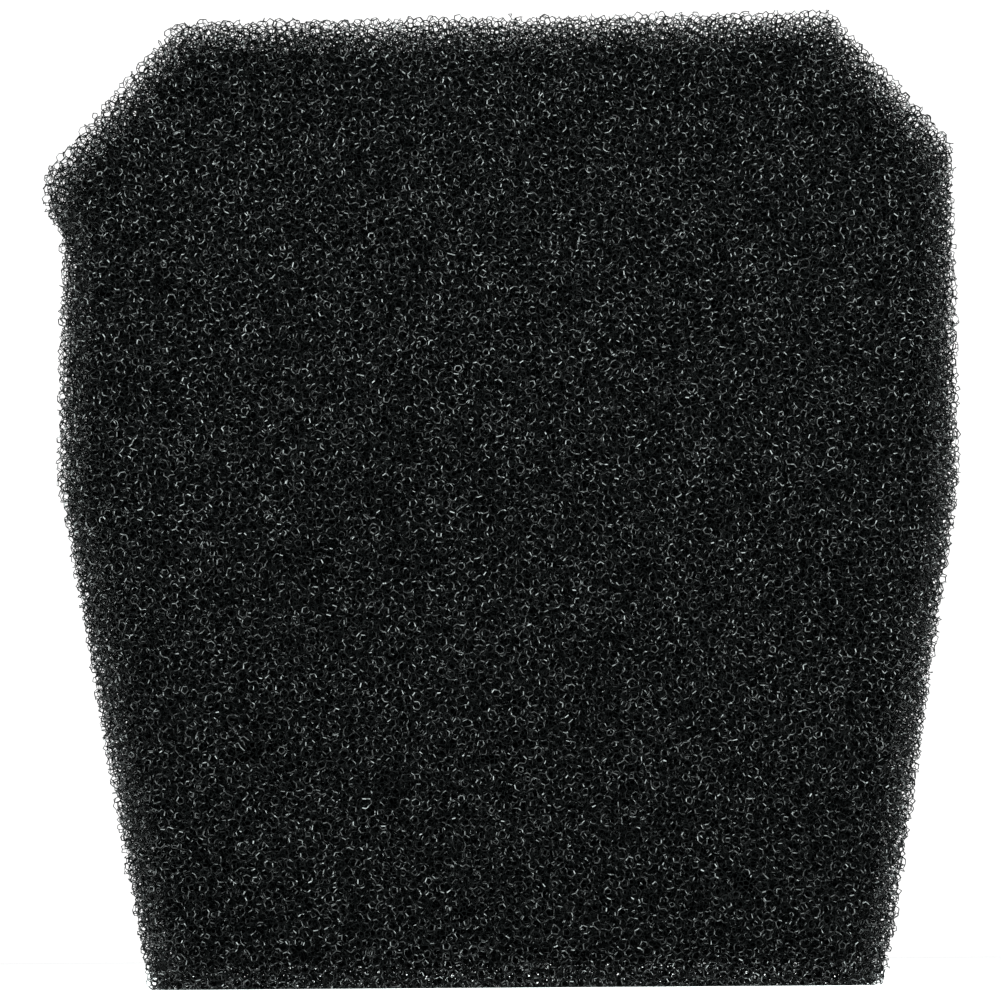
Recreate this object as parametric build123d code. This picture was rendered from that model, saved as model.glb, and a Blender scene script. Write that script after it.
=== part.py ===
from build123d import *
import os

# Sponge filter pad: one slab of open-cell foam, cut to the plan of the chamber that it fills.
# Millimetres. The pad stands on its narrow bottom edge: X is its width, Y its thickness and Z
# its height. The origin is the middle of the box's underside.

# Overall size
width = 175.0
height = 186.6
thickness = 25.0

# Bottom edge, which the pad stands on
bottom_left_x = -65.2
bottom_right_x = 69.8

# Waist, where the tapered lower sides meet the upright sides
left_waist_x = -83.8
left_waist_z = 95.5
right_waist_x = 86.5
right_waist_z = 93.9

# Upright sides
left_side_top_x = -84.0
right_side_top_z = 160.2

# Top edge, with the chamfered shoulders on both sides
top_left_x = -62.4
top_left_z = 185.6
top_right_x = 65.0

# Lip at the foot of the left chamfer, which stands out past the left side
lip_top_z = 155.3
lip_bottom_z = 148.1
lip_root_z = 145.4

# Corner radii that the knife leaves
sharp_radius = 0.8
bottom_right_radius = 3.0
waist_radius = 12.0
shoulder_radius = 1.5
lip_top_radius = 4.0
lip_bottom_radius = 1.6


def outline_corners():
    """The corners of the pad's front face in (X, Z) with their radii, anticlockwise from bottom left."""
    left_x = -width / 2
    right_x = width / 2
    return [
        ((bottom_left_x, 0), sharp_radius),
        ((bottom_right_x, 0), bottom_right_radius),
        ((right_waist_x, right_waist_z), waist_radius),
        ((right_x, right_side_top_z), shoulder_radius),
        ((top_right_x, height), shoulder_radius),
        ((top_left_x, top_left_z), shoulder_radius),
        ((left_x, lip_top_z), lip_top_radius),
        ((left_x, lip_bottom_z), lip_bottom_radius),
        ((left_side_top_x, lip_root_z), sharp_radius),
        ((left_waist_x, left_waist_z), waist_radius),
    ]


def make_foam_pad():
    """The whole pad: its outline cut square through the slab's thickness."""
    corners = outline_corners()
    points = [point for point, radius in corners]
    radii = [radius for point, radius in corners]
    outline = FilletPolyline(*points, radius=radii, close=True)
    face = Plane.XZ * make_face(outline)
    return extrude(face, amount=thickness / 2, both=True)


def write_node(name, shape):
    """Write one sub-part as parts/NAME.step and print its size."""
    shape.label = name
    export_step(shape, os.path.join("parts", name + ".step"))
    size = shape.bounding_box().size
    print(f"{name}: {size.X:.2f} x {size.Y:.2f} x {size.Z:.2f} mm, {shape.volume / 1000:.1f} cm3")


os.makedirs("parts", exist_ok=True)
write_node("foam_pad", make_foam_pad())
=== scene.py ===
import math
from concurrent.futures import ThreadPoolExecutor
from itertools import combinations

import bpy
import mathutils.noise
import numpy as np
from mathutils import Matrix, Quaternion, Vector


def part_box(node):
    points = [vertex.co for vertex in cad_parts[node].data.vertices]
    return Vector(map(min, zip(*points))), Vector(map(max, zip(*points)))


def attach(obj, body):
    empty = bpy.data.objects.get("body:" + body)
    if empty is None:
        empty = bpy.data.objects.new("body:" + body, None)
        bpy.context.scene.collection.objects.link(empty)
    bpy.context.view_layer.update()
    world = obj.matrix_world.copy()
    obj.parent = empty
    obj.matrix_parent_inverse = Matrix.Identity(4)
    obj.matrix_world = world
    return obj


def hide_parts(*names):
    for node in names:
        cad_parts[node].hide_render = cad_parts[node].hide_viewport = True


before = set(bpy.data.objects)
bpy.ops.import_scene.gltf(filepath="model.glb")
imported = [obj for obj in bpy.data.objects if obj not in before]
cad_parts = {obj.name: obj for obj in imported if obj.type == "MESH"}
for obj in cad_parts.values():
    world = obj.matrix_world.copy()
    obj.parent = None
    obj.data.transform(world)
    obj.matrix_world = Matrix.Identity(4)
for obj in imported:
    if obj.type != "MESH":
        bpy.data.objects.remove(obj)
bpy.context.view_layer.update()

# ---------------------------------------------------------------------------------------------
# Driving sizes, in metres. X is the pad's width, Y its thickness, Z its height.
# ---------------------------------------------------------------------------------------------
MM = 0.001
CELL = 1.72 * MM              # cube root of one foam cell's volume
STRUT = 0.106 * MM            # distance from a node's middle to the corners of its struts
STRUT_SPREAD = 0.16           # how much that distance differs from node to node
FRONT_DEPTH = 2.00 * CELL     # depth of real struts behind the front face
BACK_DEPTH = 0.70 * CELL      # and behind the back face
RIM_DEPTH = 4.1 * MM          # and in from the side faces, where light comes through
EDGE_DEPTH = 3.5 * MM         # and a bevel's worth more along the front and back edges
RAGGED = 0.08 * CELL          # how unevenly the knife leaves the outermost nodes
RAGGED_MOST = 1.5 * RAGGED
OUT_BY = 0.28 * CELL          # the loops that the knife leaves stand out a little
STUB_SHORTEST = 0.25          # how much of a cut strut stays, as a share of its way to the knife
STUB_LONGEST = 0.95
CUT_LEAST, CUT_MOST = 0.1, 0.9  # the knife cuts a strut between these shares of its length
CUT_HALVINGS = 7              # how closely the place of the cut is worked out
TIP_WIDTH = 0.85              # how thick a cut strut's end is, as a share of its root
FLOOR_GAP = 0.12 * MM         # no node is lower than this above the floor

# How the cells are spread: seeds that are too close push each other apart, step by step
RELAX_REACH = 1.2 * CELL      # seeds nearer than this push each other
RELAX_PUSH = 0.35             # the share of the overlap that one push takes up
RELAX_LONGEST = 0.35 * CELL   # the furthest that a seed moves in one step
RELAX_STEPS = 11
SMOOTH_STEPS = 5              # how often each node is drawn towards its four neighbours' middle
PRUNE_STEPS = 2               # how often nodes with fewer than two kept neighbours are dropped
SEED_MARGIN = 3 * CELL        # seeds outside the pad that its outermost cells lean on
KEPT_MARGIN = 2 * CELL        # and those of them that stay after the relaxing
SPHERE_REACH = 1.95 * CELL    # no empty sphere through four seeds is wider than this
SPHERES_AT_ONCE = 400000      # how many are worked out in one go, for memory's sake
ZONES_X, ZONES_Z = 5, 5       # the foam is built in blocks, so that no one mesh is too large

# What the foam looks like
FINISH_SHARES = (0.56, 0.30, 0.14)  # how many struts are dull, satin and glossy
FINISHES = (                  # name, roughness from and to, and how strongly it reflects
    ("foam_dull", (0.24, 0.38), 0.08),
    ("foam_satin", (0.12, 0.22), 0.44),
    ("foam_glossy", (0.06, 0.14), 0.72),
)
STRUT_TONES = ((0.0003, 0.0004, 0.0004), (0.0014, 0.0016, 0.0016))  # darkest and lightest
CORE_PAINTED_SHADE_TONES = ((0.0001, 0.0001, 0.0001), (0.009, 0.010, 0.010))  # the core's painted shade, and the painted light on its faint net of deeper struts
CORE_NET = 0.5 * CELL         # size of the net's meshes
CORE_NET_LINE = 0.11          # half the width of its lines, as a share of a mesh
CORE_FILL = 0.98              # how near the core comes to the side layer's inner end
CORE_FACE_FILL = 0.95         # and to the front and back layers'
CORE_ROUND, CORE_RINGS = 220, 40  # points round the core, and rings on each of its faces
CORE_EDGE_ROWS, CORE_SIDE_ROWS = 4, 8  # rows of points on its bevels and on its side
CORE_RELIEF = 0.45 * CELL     # how uneven the core's surface is
CORE_SMALL_LUMPS = 0.9 * CELL  # and how far apart its small and its large lumps are
CORE_LARGE_LUMPS = 2.5 * CELL

# The studio
FLOOR_SIZE = 6.0
FLOOR_TONES = ((0.84, 0.84, 0.84), (0.86, 0.86, 0.86))
SURROUND = 1.15               # brightness of the white all round, which nothing glossy mirrors
LAMP_TINT = (0.90, 1.0, 0.985)
SOFTBOXES = (                 # name, place, size, power in watts
    ("softbox_left", (-0.75, -0.55, 0.35), (0.5, 0.8), 17.0),
    ("softbox_right", (0.75, -0.55, 0.35), (0.5, 0.8), 17.0),
    ("softbox_top", (0.0, -0.35, 1.0), (1.2, 0.6), 19.0),
)
LAMPS_AIM_AT = (0, 0, 0.09)
PICTURE_WIDTH = 0.18884       # how much of the front face's plane the picture takes in
CAMERA_DISTANCE = 0.50        # in front of the front face
CAMERA_HEIGHT = 0.006
CAMERA_ROLL = -0.0070
AIM_X, AIM_HEIGHT = -0.00016, 0.09050  # the point of the front face in the picture's middle
SENSOR_WIDTH = 36             # in millimetres, as Blender has it

SEED = 20
WORKERS = ThreadPoolExecutor(4)  # numpy work on large arrays runs side by side

pad_low, pad_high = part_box("foam_pad")


# ---------------------------------------------------------------------------------------------
# The pad's outline, taken from the front face of the CAD solid
# ---------------------------------------------------------------------------------------------
def front_outline():
    """The front face's edge as an anticlockwise loop of (x, z) points.

    It is made of the edges that only one of the front face's triangles has."""
    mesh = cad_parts["foam_pad"].data
    mesh.calc_loop_triangles()
    corners = np.array([v.co[:] for v in mesh.vertices])
    corners_at = {}
    count = {}
    for tri in mesh.loop_triangles:
        points = [tuple(np.round(corners[i], 7)) for i in tri.vertices]
        if all(abs(p[1] - pad_low.y) < 0.01 * MM for p in points):
            for a, b in zip(points, points[1:] + points[:1]):
                count[frozenset((a, b))] = count.get(frozenset((a, b)), 0) + 1
    for pair, uses in count.items():
        if uses == 1:
            a, b = tuple(pair)
            corners_at.setdefault(a, []).append(b)
            corners_at.setdefault(b, []).append(a)
    start = min(corners_at)
    loop, last, here = [start], None, start
    while True:
        following = [p for p in corners_at[here] if p != last]
        last, here = here, following[0]
        if here == start:
            break
        loop.append(here)
    loop = np.array([(p[0], p[2]) for p in loop])
    ahead = np.roll(loop, -1, 0)
    area = (loop[:, 0] * ahead[:, 1] - ahead[:, 0] * loop[:, 1]).sum()
    return loop if area > 0 else loop[::-1]


OUTLINE = front_outline()


def outside_outline(x, z):
    """Signed distance from the outline in the XZ plane: negative inside."""
    start, end = OUTLINE, np.roll(OUTLINE, -1, 0)
    nearest = np.full(len(x), 1e9)
    crossings = np.zeros(len(x), bool)
    for (ax, az), (bx, bz) in zip(start, end):
        ex, ez = bx - ax, bz - az
        wx, wz = x - ax, z - az
        along = np.clip((wx * ex + wz * ez) / (ex * ex + ez * ez), 0, 1)
        nearest = np.minimum(nearest, (wx - along * ex) ** 2 + (wz - along * ez) ** 2)
        if az != bz:
            between = (az > z) != (bz > z)
            crossings ^= between & (x < ax + (z - az) * ex / ez)
    return np.where(crossings, -1, 1) * np.sqrt(nearest)


def distances_inside(points):
    """How far inside the outline, the front face and the back face each point is."""
    inset = -outside_outline(points[:, 0], points[:, 2])
    return inset, points[:, 1] - pad_low.y, pad_high.y - points[:, 1]


# ---------------------------------------------------------------------------------------------
# The foam's cells: relaxed seed points and the network of struts between their cells
# ---------------------------------------------------------------------------------------------
def neighbours(points, radius):
    """All ordered pairs of points closer than radius, sorted by the first."""
    key = np.floor((points - points.min(0)) / radius).astype(np.int64) + 1
    dims = key.max(0) + 2
    flat = (key[:, 0] * dims[1] + key[:, 1]) * dims[2] + key[:, 2]
    order = np.argsort(flat, kind="stable")
    ranked = flat[order]
    everyone = np.arange(len(points))

    def pairs_at(step):
        other = flat + (step[0] * dims[1] + step[1]) * dims[2] + step[2]
        low = np.searchsorted(ranked, other, "left")
        count = np.searchsorted(ranked, other, "right") - low
        first = np.repeat(everyone, count)
        place = np.arange(count.sum()) - np.repeat(np.cumsum(count) - count, count)
        second = order[np.repeat(low, count) + place]
        gap = points[first] - points[second]
        near = (np.einsum("ij,ij->i", gap, gap) < radius * radius) & (first != second)
        return first[near], second[near]

    steps = [(dx, dy, dz) for dx in (-1, 0, 1) for dy in (-1, 0, 1) for dz in (-1, 0, 1)]
    found = list(WORKERS.map(pairs_at, steps))
    first, second = (np.concatenate([pair[k] for pair in found]) for k in (0, 1))
    order = np.argsort(first * len(points) + second, kind="stable")
    return first[order], second[order]


def cell_seeds(rng):
    """One point per cell in the pad's shell, evenly spread but in no lattice."""
    low = np.array(pad_low) - SEED_MARGIN
    high = np.array(pad_high) + SEED_MARGIN
    count = int(round(np.prod(high - low) / CELL ** 3))
    points = low + rng.random((count, 3)) * (high - low)
    points = points[in_shell(points, SEED_MARGIN)]
    for _ in range(RELAX_STEPS):
        first, second = neighbours(points, RELAX_REACH)
        gap = points[first] - points[second]
        length = np.sqrt(np.einsum("ij,ij->i", gap, gap)) + 1e-12
        push = (RELAX_REACH - length) / length * RELAX_PUSH
        move = np.stack([np.bincount(first, gap[:, k] * push, len(points)) for k in range(3)], 1)
        size = np.linalg.norm(move, axis=1, keepdims=True)
        points = points + move * np.minimum(1, RELAX_LONGEST / np.maximum(size, 1e-12))
    points = points[in_shell(points, KEPT_MARGIN)]
    return points[np.argsort(points[:, 0])]


def in_shell(points, margin):
    """True where a point is within margin of the layers that are built of real struts."""
    inset, from_front, from_back = distances_inside(points)
    in_pad = np.minimum(inset, np.minimum(from_front, from_back)) > -margin
    return in_pad & in_struts(inset, from_front, from_back, margin)


def in_struts(inset, from_front, from_back, margin=0.0):
    """True outside the dark core of painted shade: in the front, back and side layers and in the bevel
    between them.
    """
    to_front, to_back, to_side = from_front - FRONT_DEPTH, from_back - BACK_DEPTH, inset - RIM_DEPTH
    in_layer = np.minimum(to_front, np.minimum(to_back, to_side)) < margin
    return in_layer | (np.minimum(to_front, to_back) + to_side < EDGE_DEPTH + margin)


def empty_spheres(points):
    """The foam's nodes: every sphere through four seeds with no seed inside, as (seeds, middle)."""
    first, second = neighbours(points, SPHERE_REACH)
    starts = np.searchsorted(first, np.arange(len(points) + 1))
    width = int(np.diff(starts).max())
    table = np.full((len(points), width), -1)
    table[first, np.arange(len(first)) - starts[first]] = second
    later = table > np.arange(len(points))[:, None]
    order = np.argsort(np.where(later, 0, np.where(table < 0, 2, 1)), axis=1, kind="stable")
    table = np.take_along_axis(table, order, 1)
    later_count = later.sum(1)

    def spheres_of(job):
        """The empty spheres through each row's seed and every three of its later neighbours."""
        rows, triples = job
        around = table[rows]
        gap = points[around] - points[rows][:, None]
        gap[around < 0] = 1.0
        square = np.einsum("ijk,ijk->ij", gap, gap)
        x, y, z = gap[..., 0], gap[..., 1], gap[..., 2]
        i, j, k = triples.T
        # cross products of every pair that a triple uses, by component
        xi, yi, zi = x[:, i], y[:, i], z[:, i]
        xj, yj, zj = x[:, j], y[:, j], z[:, j]
        xk, yk, zk = x[:, k], y[:, k], z[:, k]
        jkx, jky, jkz = yj * zk - zj * yk, zj * xk - xj * zk, xj * yk - yj * xk
        volume = 2 * (xi * jkx + yi * jky + zi * jkz)
        volume[abs(volume) < 1e-6 * CELL ** 3] = np.nan
        si, sj, sk = square[:, i] / volume, square[:, j] / volume, square[:, k] / volume
        mx = si * jkx + sj * (yk * zi - zk * yi) + sk * (yi * zj - zi * yj)
        my = si * jky + sj * (zk * xi - xk * zi) + sk * (zi * xj - xi * zj)
        mz = si * jkz + sj * (xk * yi - yk * xi) + sk * (xi * yj - yi * xj)
        radius = mx * mx + my * my + mz * mz
        row, triple = np.nonzero(radius < SPHERE_REACH * SPHERE_REACH / 4)
        middle = np.stack([mx[row, triple], my[row, triple], mz[row, triple]], 1)
        radius = radius[row, triple] * (1 - 1e-7)
        nearest_first = np.argsort(square, axis=1)
        alive = np.arange(len(row))
        for begin in range(0, width, 8):
            others = nearest_first[row[alive], begin:begin + 8]
            away = gap[row[alive][:, None], others] - middle[alive][:, None]
            inside = np.einsum("ijk,ijk->ij", away, away) < radius[alive][:, None]
            alive = alive[~inside.any(1)]
        row, triple, middle = row[alive], triple[alive], middle[alive]
        chosen = [around[row, triples[triple, c]] for c in range(3)]
        return np.stack([rows[row], *chosen], 1), points[rows[row]] + middle

    jobs = []
    for m in np.unique(later_count[later_count >= 3]):
        rows_of_m = np.nonzero(later_count == m)[0]
        triples = np.array(list(combinations(range(m), 3)))
        batch = max(1, SPHERES_AT_ONCE // len(triples))
        for begin in range(0, len(rows_of_m), batch):
            jobs.append((rows_of_m[begin:begin + batch], triples))
    found = list(WORKERS.map(spheres_of, jobs))
    seeds, middles = (np.concatenate([pair[k] for pair in found]) for k in (0, 1))
    return np.sort(seeds, axis=1), middles


OTHERS = np.array([[1, 2, 3], [0, 2, 3], [0, 1, 3], [0, 1, 2]])  # the slots other than slot k


def strut_pairs(seeds):
    """Struts join nodes that share three seeds.

    Gives for each strut its two nodes and the slot it has at each, where slot k of a node is the
    strut that leaves out the node's seed k."""
    n = int(seeds.max()) + 1
    keys, node, slot = [], [], []
    for k in range(4):
        s0, s1, s2 = seeds[:, OTHERS[k]].T.astype(np.int64)
        keys.append((s0 * n + s1) * n + s2)
        node.append(np.arange(len(seeds)))
        slot.append(np.full(len(seeds), k))
    keys, node, slot = np.concatenate(keys), np.concatenate(node), np.concatenate(slot)
    order = np.argsort(keys, kind="stable")
    keys, node, slot = keys[order], node[order], slot[order]
    same = np.nonzero(keys[1:] == keys[:-1])[0]
    return node[same], slot[same], node[same + 1], slot[same + 1]


def foam_network(rng):
    """The whole foam: seeds, each node's four seeds, place and neighbours, and all the struts.

    A node is whole when it has all of its four neighbours."""
    points = cell_seeds(rng)
    seeds, place = empty_spheres(points)
    a, slot_a, b, slot_b = strut_pairs(seeds)
    joined = np.full((len(seeds), 4), -1)
    joined[a, slot_a] = b
    joined[b, slot_b] = a
    whole = (joined >= 0).all(1)
    for _ in range(SMOOTH_STEPS):
        middle = place[joined].mean(1)
        place = np.where(whole[:, None], 0.5 * place + 0.5 * middle, place)
    return points, seeds, place, joined, whole, (a, slot_a, b, slot_b)


def unit(vectors):
    """The vectors scaled to length one."""
    return vectors / np.maximum(np.linalg.norm(vectors, axis=-1, keepdims=True), 1e-12)


def kept_nodes(place, joined, whole, rng):
    """True for the nodes that the knife leaves, in the layers that are built of struts."""
    inset, from_front, from_back = distances_inside(place)
    depth = np.minimum(inset, np.minimum(from_front, from_back))
    ragged = np.clip(rng.normal(0, RAGGED, len(place)), -RAGGED_MOST, RAGGED_MOST)
    kept = whole & (depth > ragged - OUT_BY) & (place[:, 2] > FLOOR_GAP)
    kept &= in_struts(inset, from_front, from_back)
    for _ in range(PRUNE_STEPS):
        kept &= kept[joined].sum(1) >= 2
    return kept


def build_foam(rng):
    """The struts to build, each from a kept node a to a node b, with its finish.

    Each node has four corners, one facing each of its four cells. A strut runs between three
    corners of a and the same three cells' corners of b: ring_a and ring_b are their numbers. turn
    tells which way round they go, and both whether b is kept too."""
    points, seeds, place, joined, whole, (a, slot_a, b, slot_b) = foam_network(rng)
    kept = kept_nodes(place, joined, whole, rng)
    direction = unit(place[joined] - place[:, None])
    size = STRUT * np.exp(rng.normal(0, STRUT_SPREAD, len(place)))
    corner = place[:, None] - direction * size[:, None, None]

    use = kept[a] | kept[b]
    a, slot_a, b, slot_b = a[use], slot_a[use], b[use], slot_b[use]
    swap = ~kept[a]
    a, b = np.where(swap, b, a), np.where(swap, a, b)
    slot_a, slot_b = np.where(swap, slot_b, slot_a), np.where(swap, slot_a, slot_b)
    triple = seeds[a[:, None], OTHERS[slot_a]]
    s0, s1, s2 = (points[triple[:, k]] for k in range(3))
    apex_step = points[seeds[b, slot_b]] - points[seeds[a, slot_a]]
    turn = np.einsum("ij,ij->i", np.cross(s1 - s0, s2 - s0), apex_step) > 0
    finish = rng.choice(len(FINISH_SHARES), len(a), p=FINISH_SHARES)
    return dict(place=place, kept=kept, corner=corner, a=a, b=b, ring_a=OTHERS[slot_a],
                ring_b=OTHERS[slot_b], both=kept[b], turn=turn, finish=finish)


def cut_share(start, end, rng):
    """How much of a cut strut, from start to its missing node at end, is left standing.

    At the floor it ends at the cut, and elsewhere somewhere short of it."""
    low = np.zeros(len(start))
    high = np.ones(len(start))
    for _ in range(CUT_HALVINGS):
        share = (low + high) / 2
        inset, from_front, from_back = distances_inside(start + (end - start) * share[:, None])
        inside = np.minimum(inset, np.minimum(from_front, from_back)) > 0
        low, high = np.where(inside, share, low), np.where(inside, high, share)
    share = np.clip((low + high) / 2, CUT_LEAST, CUT_MOST)
    at_floor = end[:, 2] < pad_low.z
    return np.where(at_floor, share, share * rng.uniform(STUB_SHORTEST, STUB_LONGEST, len(share)))


def ring_corners(net, struts, node, ring):
    """The places of three corners for each strut, at its node a or b."""
    return np.take_along_axis(net["corner"][net[node][struts]], net[ring][struts][:, :, None], 1)


def cut_tips(net, rng):
    """The three corners of each strut's end, for the cut struts."""
    cut = np.nonzero(~net["both"])[0]
    start, end = net["place"][net["a"][cut]], net["place"][net["b"][cut]]
    share = cut_share(start, end, rng)
    along = unit(end - start)[:, None]
    offset = ring_corners(net, cut, "a", "ring_a") - start[:, None]
    lengthwise = np.einsum("ijk,ijk->ij", offset, np.broadcast_to(along, offset.shape))
    offset = offset - along * lengthwise[..., None]
    tips = np.zeros((len(net["a"]), 3, 3))
    tips[cut] = start[:, None] + ((end - start) * share[:, None])[:, None] + offset * TIP_WIDTH
    return tips


def block_numbers(place):
    """The number of the block that each place is in, counted along X and then up Z."""
    def step(axis, count):
        share = (place[:, axis] - pad_low[axis]) / (pad_high[axis] - pad_low[axis])
        return np.clip((share * count).astype(int), 0, count - 1)

    return step(2, ZONES_Z) * ZONES_X + step(0, ZONES_X)


def block_mesh(net, tips, block, number):
    """One block's vertices, quads, triangles and each face's finish.

    A block has the struts that start in it. One that ends in another block is capped there, and
    one that comes in from another block is met by a triangle that closes its node."""
    turn, finish, both = net["turn"], net["finish"], net["both"]
    mine = np.nonzero(net["kept"] & (block == number))[0]
    local = np.full(len(block), -1)
    local[mine] = np.arange(len(mine))
    at_a, at_b = block[net["a"]] == number, block[net["b"]] == number
    inner, leave = np.nonzero(both & at_a & at_b)[0], np.nonzero(both & at_a & ~at_b)[0]
    come, ends = np.nonzero(both & ~at_a & at_b)[0], np.nonzero(~both & at_a)[0]

    start = net["ring_a"] + 4 * local[net["a"]][:, None]
    end = net["ring_b"] + 4 * local[net["b"]][:, None]
    total = 4 * len(mine)
    end[leave] = total + np.arange(3 * len(leave)).reshape(-1, 3)
    total += 3 * len(leave)
    end[ends] = total + np.arange(3 * len(ends)).reshape(-1, 3)
    places = [net["corner"][mine], ring_corners(net, leave, "b", "ring_b"), tips[ends]]
    vertices = np.concatenate([part.reshape(-1, 3) for part in places])
    vertices[:, 2] = np.maximum(vertices[:, 2], pad_low.z)

    sides = (inner, leave, ends)
    quads = np.concatenate([side_quads(start[these], end[these], turn[these]) for these in sides])
    caps = ((leave, turn[leave]), (come, ~turn[come]), (ends, turn[ends]))
    tris = np.concatenate([np.where(way[:, None], end[these], end[these][:, ::-1]) for these, way in caps])
    finishes = [np.tile(finish[these], 3) for these in sides] + [finish[these] for these, way in caps]
    return vertices, quads, tris, np.concatenate(finishes)


def blocks(net, rng):
    """Split the struts into blocks and give each one's name and mesh parts."""
    tips = cut_tips(net, rng)
    block = block_numbers(net["place"])
    for number in np.unique(block[net["kept"]]):
        name = f"foam_r{number // ZONES_X + 1}_c{number % ZONES_X + 1}"
        yield name, block_mesh(net, tips, block, number)


def side_quads(start, end, turn):
    """The three sides of each strut between its rings of corners at start and end."""
    quads = []
    for i in range(3):
        j = (i + 1) % 3
        quad = np.stack([start[:, i], start[:, j], end[:, j], end[:, i]], 1)
        quads.append(np.where(turn[:, None], quad, quad[:, ::-1]))
    return np.concatenate(quads)


def make_mesh(name, vertices, quads, tris, finish):
    """A flat-shaded mesh of quads and triangles, in which each face's finish is its material."""
    mesh = bpy.data.meshes.new(name)
    mesh.vertices.add(len(vertices))
    mesh.vertices.foreach_set("co", vertices.astype(np.float32).ravel())
    loops = np.concatenate([quads.ravel(), tris.ravel()]).astype(np.int32)
    mesh.loops.add(len(loops))
    mesh.loops.foreach_set("vertex_index", loops)
    quad_starts = np.arange(len(quads)) * 4
    tri_starts = len(quads) * 4 + np.arange(len(tris)) * 3
    start = np.concatenate([quad_starts, tri_starts]).astype(np.int32)
    mesh.polygons.add(len(start))
    mesh.polygons.foreach_set("loop_start", start)
    mesh.polygons.foreach_set("use_smooth", np.zeros(len(start), bool))
    mesh.polygons.foreach_set("material_index", finish.astype(np.int32))
    mesh.update(calc_edges=True)
    return mesh


def add(name, mesh):
    """Put a mesh into the scene under a name."""
    thing = bpy.data.objects.new(name, mesh)
    bpy.context.scene.collection.objects.link(thing)
    return thing


# ---------------------------------------------------------------------------------------------
# Materials
# ---------------------------------------------------------------------------------------------
def new_material(name):
    """A material, its node tree and its shader."""
    material = bpy.data.materials.new(name)
    material.use_nodes = True
    tree = material.node_tree
    return material, tree, tree.nodes["Principled BSDF"]


def ramp(tree, source, stops):
    """A colour ramp over a 0..1 value; stops are (place, rgb)."""
    node = tree.nodes.new("ShaderNodeValToRGB")
    elements = node.color_ramp.elements
    for element, (place, colour) in zip(elements, (stops[0], stops[-1])):
        element.position = place
        element.color = (*colour, 1)
    for place, colour in stops[1:-1]:
        elements.new(place).color = (*colour, 1)
    tree.links.new(source, node.inputs["Fac"])
    return node.outputs["Color"]


def spread(tree, source, low, high):
    """Turn a 0..1 value into one from low to high."""
    node = tree.nodes.new("ShaderNodeMapRange")
    node.inputs["To Min"].default_value = low
    node.inputs["To Max"].default_value = high
    tree.links.new(source, node.inputs["Value"])
    return node.outputs["Result"]


def noise(tree, cells, detail=2.0):
    """Noise in object space, with features about that many foam cells across."""
    coordinates = tree.nodes.new("ShaderNodeTexCoord")
    node = tree.nodes.new("ShaderNodeTexNoise")
    node.inputs["Scale"].default_value = 1 / (cells * CELL)
    node.inputs["Detail"].default_value = detail
    tree.links.new(coordinates.outputs["Object"], node.inputs["Vector"])
    return node.outputs["Fac"]


def strut_material(name, roughness, shine):
    """Black polyurethane with a faint green-blue cast, uneven from strut to strut."""
    material, tree, shader = new_material(name)
    darkest, lightest = STRUT_TONES
    colour = ramp(tree, noise(tree, 0.8), [(0.3, darkest), (0.7, lightest)])
    tree.links.new(colour, shader.inputs["Base Color"])
    tree.links.new(spread(tree, noise(tree, 0.5), *roughness), shader.inputs["Roughness"])
    shader.inputs["Specular IOR Level"].default_value = shine
    return material


def painted_shade_material():
    """The foam too deep to make out: painted shade, near black, with painted light on the deeper struts as
    a faint net.
    """
    material, tree, shader = new_material("foam_depths_painted_shade")
    coordinates = tree.nodes.new("ShaderNodeTexCoord")
    cells = tree.nodes.new("ShaderNodeTexVoronoi")
    cells.feature = "DISTANCE_TO_EDGE"
    cells.inputs["Scale"].default_value = 1 / CORE_NET
    tree.links.new(coordinates.outputs["Object"], cells.inputs["Vector"])
    # painted shade, with painted light along the net's lines standing for lit deeper struts
    colour = ramp(tree, cells.outputs["Distance"], [(0.0, CORE_PAINTED_SHADE_TONES[1]), (CORE_NET_LINE, CORE_PAINTED_SHADE_TONES[0])])
    tree.links.new(colour, shader.inputs["Base Color"])
    tree.links.new(spread(tree, noise(tree, 2.0), 0.8, 1.0), shader.inputs["Roughness"])
    shader.inputs["Specular IOR Level"].default_value = 0.0
    return material


def floor_material():
    """A matt, pale floor with a faint unevenness."""
    material, tree, shader = new_material("pale_floor")
    shade = ramp(tree, noise(tree, 40.0), [(0.3, FLOOR_TONES[0]), (0.7, FLOOR_TONES[1])])
    tree.links.new(shade, shader.inputs["Base Color"])
    shader.inputs["Roughness"].default_value = 0.9
    shader.inputs["Specular IOR Level"].default_value = 0.2
    return material


# ---------------------------------------------------------------------------------------------
# The dark middle of the pad, painted shade behind the struts that are built one by one
# ---------------------------------------------------------------------------------------------
def inset_ring(distance, count):
    """Points on the line that runs the given distance inside the outline, as (x, z)."""
    middle = (OUTLINE.min(0) + OUTLINE.max(0)) / 2
    angle = np.arange(count) * 2 * math.pi / count
    ray = np.stack([np.cos(angle), np.sin(angle)], 1)
    low, high = np.zeros(count), np.full(count, float(np.ptp(OUTLINE[:, 1])))
    for _ in range(24):
        reach = (low + high) / 2
        here = middle + ray * reach[:, None]
        inside = outside_outline(here[:, 0], here[:, 1]) < -distance
        low, high = np.where(inside, reach, low), np.where(inside, high, reach)
    return middle, ray * low[:, None]


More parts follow.
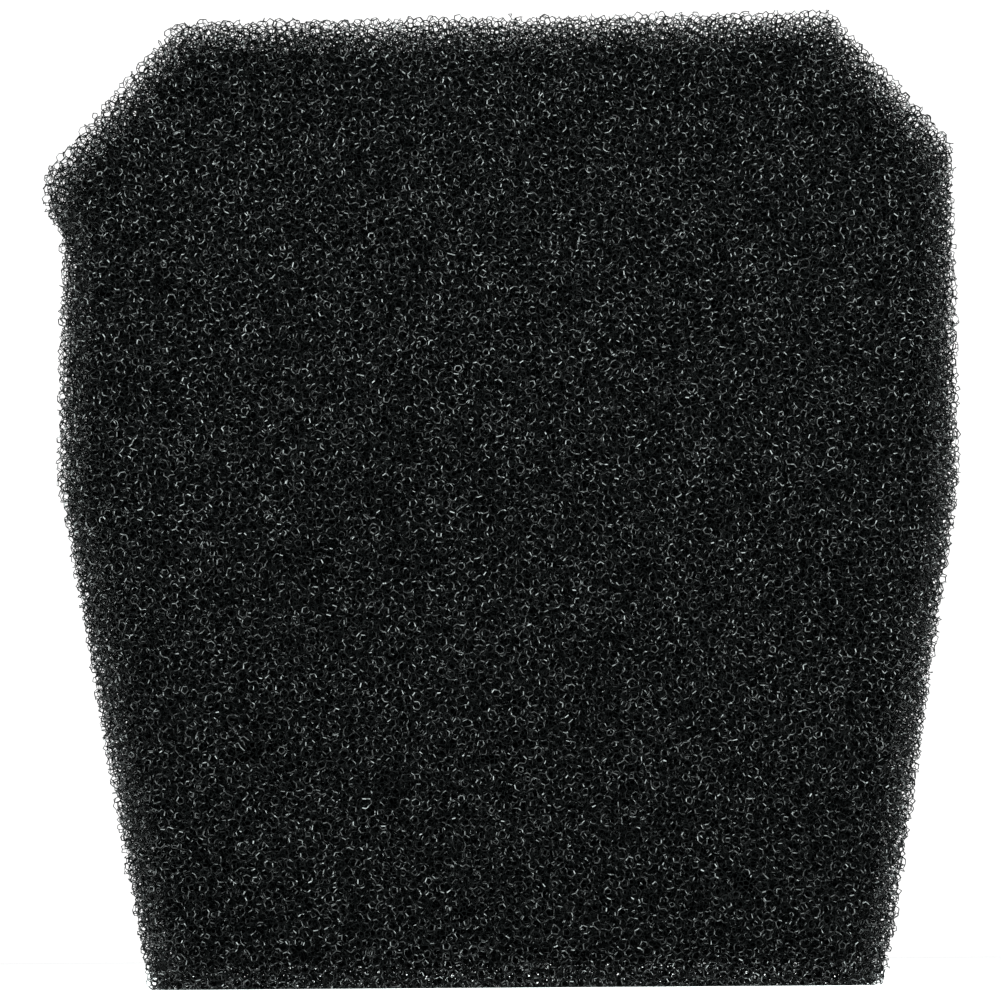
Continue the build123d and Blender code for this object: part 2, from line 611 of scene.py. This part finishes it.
def core_rows():
    """The core's middle, and its rows of points from the front face's middle to the back face's.

    Each row is a ring of (x, z) steps from the middle, and its Y."""
    middle, rim = inset_ring(RIM_DEPTH * CORE_FILL, CORE_ROUND)
    middle, face_rim = inset_ring(RIM_DEPTH * CORE_FILL + EDGE_DEPTH, CORE_ROUND)
    front_y = pad_low.y + FRONT_DEPTH * CORE_FACE_FILL
    back_y = pad_high.y - BACK_DEPTH * CORE_FACE_FILL
    shares = [(ring + 1) / CORE_RINGS for ring in range(CORE_RINGS)]
    bevel = [step / CORE_EDGE_ROWS for step in range(1, CORE_EDGE_ROWS + 1)]
    flat = back_y - front_y - 2 * EDGE_DEPTH
    rows = [(face_rim * share, front_y) for share in shares]
    rows += [(face_rim + (rim - face_rim) * part, front_y + EDGE_DEPTH * part) for part in bevel]
    for step in range(1, CORE_SIDE_ROWS):
        rows.append((rim, front_y + EDGE_DEPTH + flat * step / CORE_SIDE_ROWS))
    rows += [(face_rim + (rim - face_rim) * part, back_y - EDGE_DEPTH * part) for part in reversed(bevel)]
    rows += [(face_rim * share, back_y) for share in reversed(shares)]
    return middle, rows


def core_relief(vertex, centre):
    """The step by which a point of the core is drawn in towards its centre, mostly along Y."""
    small = mathutils.noise.noise(vertex / CORE_SMALL_LUMPS)
    large = mathutils.noise.noise(vertex / CORE_LARGE_LUMPS)
    shift = small + 0.6 * large
    inwards = (centre - vertex).normalized()
    inwards.y *= 4
    return inwards.normalized() * CORE_RELIEF * (0.5 + shift)


def make_painted_shade_core():
    """A closed, uneven body with bevelled edges, dark with painted shade, which fills the pad up to where
    the struts end.
    """
    middle, rows = core_rows()
    front_y, back_y = rows[0][1], rows[-1][1]
    vertices = [Vector((middle[0], front_y, middle[1]))]
    for ring, y in rows:
        vertices += [Vector((middle[0] + x, y, middle[1] + z)) for x, z in ring]
    vertices.append(Vector((middle[0], back_y, middle[1])))
    centre = Vector((middle[0], (front_y + back_y) / 2, middle[1]))
    for vertex in vertices:
        vertex += core_relief(vertex, centre)
    n = CORE_ROUND
    last = len(vertices) - 1
    faces = [(0, 1 + i, 1 + (i + 1) % n) for i in range(n)]
    for row in range(len(rows) - 1):
        a, b = 1 + row * n, 1 + (row + 1) * n
        faces += [(a + i, b + i, b + (i + 1) % n, a + (i + 1) % n) for i in range(n)]
    a = 1 + (len(rows) - 1) * n
    faces += [(a + i, last, a + (i + 1) % n) for i in range(n)]
    mesh = bpy.data.meshes.new("foam_painted_shade_core")
    mesh.from_pydata(vertices, [], faces)
    return mesh


# ---------------------------------------------------------------------------------------------
# Pieces
# ---------------------------------------------------------------------------------------------
def make_pad():
    """The pad: its blocks of struts and its core, which ride and replace the one CAD solid."""
    rng = np.random.default_rng(SEED)
    net = build_foam(rng)
    finishes = [strut_material(name, roughness, shine) for name, roughness, shine in FINISHES]
    made = []
    for name, parts in blocks(net, rng):
        piece = add(name, make_mesh(name, *parts))
        for material in finishes:
            piece.data.materials.append(material)
        made.append(piece)
    # the core is painted shade: a dark body where the deep foam lies in shade
    core = add("foam_painted_shade_core", make_painted_shade_core())
    core.data.materials.append(painted_shade_material())
    made.append(core)
    for piece in made:
        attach(piece, "root")
        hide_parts("foam_pad")


# ---------------------------------------------------------------------------------------------
# Floor, backdrop light, lamps and camera
# ---------------------------------------------------------------------------------------------
def make_floor():
    """The square of floor that the pad stands on."""
    half = FLOOR_SIZE / 2
    corners = [(-half, -half, 0), (half, -half, 0), (half, half, 0), (-half, half, 0)]
    mesh = bpy.data.meshes.new("floor")
    mesh.from_pydata(corners, [], [(0, 1, 2, 3)])
    mesh.materials.append(floor_material())
    add("floor", mesh)


def make_world():
    """An even white surround for the camera and for matt surfaces. Glossy ones mirror the lamps alone."""
    world = bpy.data.worlds.new("studio")
    bpy.context.scene.world = world
    world.use_nodes = True
    background = world.node_tree.nodes["Background"]
    background.inputs["Color"].default_value = (1, 1, 1, 1)
    background.inputs["Strength"].default_value = SURROUND
    world.cycles_visibility.glossy = False


def turned_to(place, target):
    """The rotation of a lamp or camera that looks from place at target."""
    return (Vector(target) - Vector(place)).to_track_quat("-Z", "Y")


def softbox(name, place, size, power):
    """A rectangular lamp that points at the pad's middle."""
    lamp = bpy.data.lights.new(name, "AREA")
    lamp.shape = "RECTANGLE"
    lamp.size, lamp.size_y = size
    lamp.energy = power
    lamp.color = LAMP_TINT
    thing = bpy.data.objects.new(name, lamp)
    bpy.context.scene.collection.objects.link(thing)
    thing.location = place
    thing.rotation_mode = "QUATERNION"
    thing.rotation_quaternion = turned_to(place, LAMPS_AIM_AT)


def make_camera():
    """The camera in front of the pad's foot, looking slightly up at the middle of its front face."""
    lens = bpy.data.cameras.new("camera")
    camera = bpy.data.objects.new("camera", lens)
    bpy.context.scene.collection.objects.link(camera)
    bpy.context.scene.camera = camera
    place = Vector((AIM_X, pad_low.y - CAMERA_DISTANCE, CAMERA_HEIGHT))
    target = Vector((AIM_X, pad_low.y, AIM_HEIGHT))
    camera.location = place
    camera.rotation_mode = "QUATERNION"
    camera.rotation_quaternion = turned_to(place, target) @ Quaternion((0, 0, 1), CAMERA_ROLL)
    lens.sensor_width = SENSOR_WIDTH
    lens.lens = SENSOR_WIDTH * (target - place).length / PICTURE_WIDTH
    lens.clip_start = 0.01
    lens.clip_end = 50


def make_studio():
    """Everything round the pad, and plain colour management."""
    make_floor()
    make_world()
    for lamp in SOFTBOXES:
        softbox(*lamp)
    make_camera()
    settings = bpy.context.scene.view_settings
    settings.view_transform = "Standard"
    settings.look = "None"


make_pad()
make_studio()
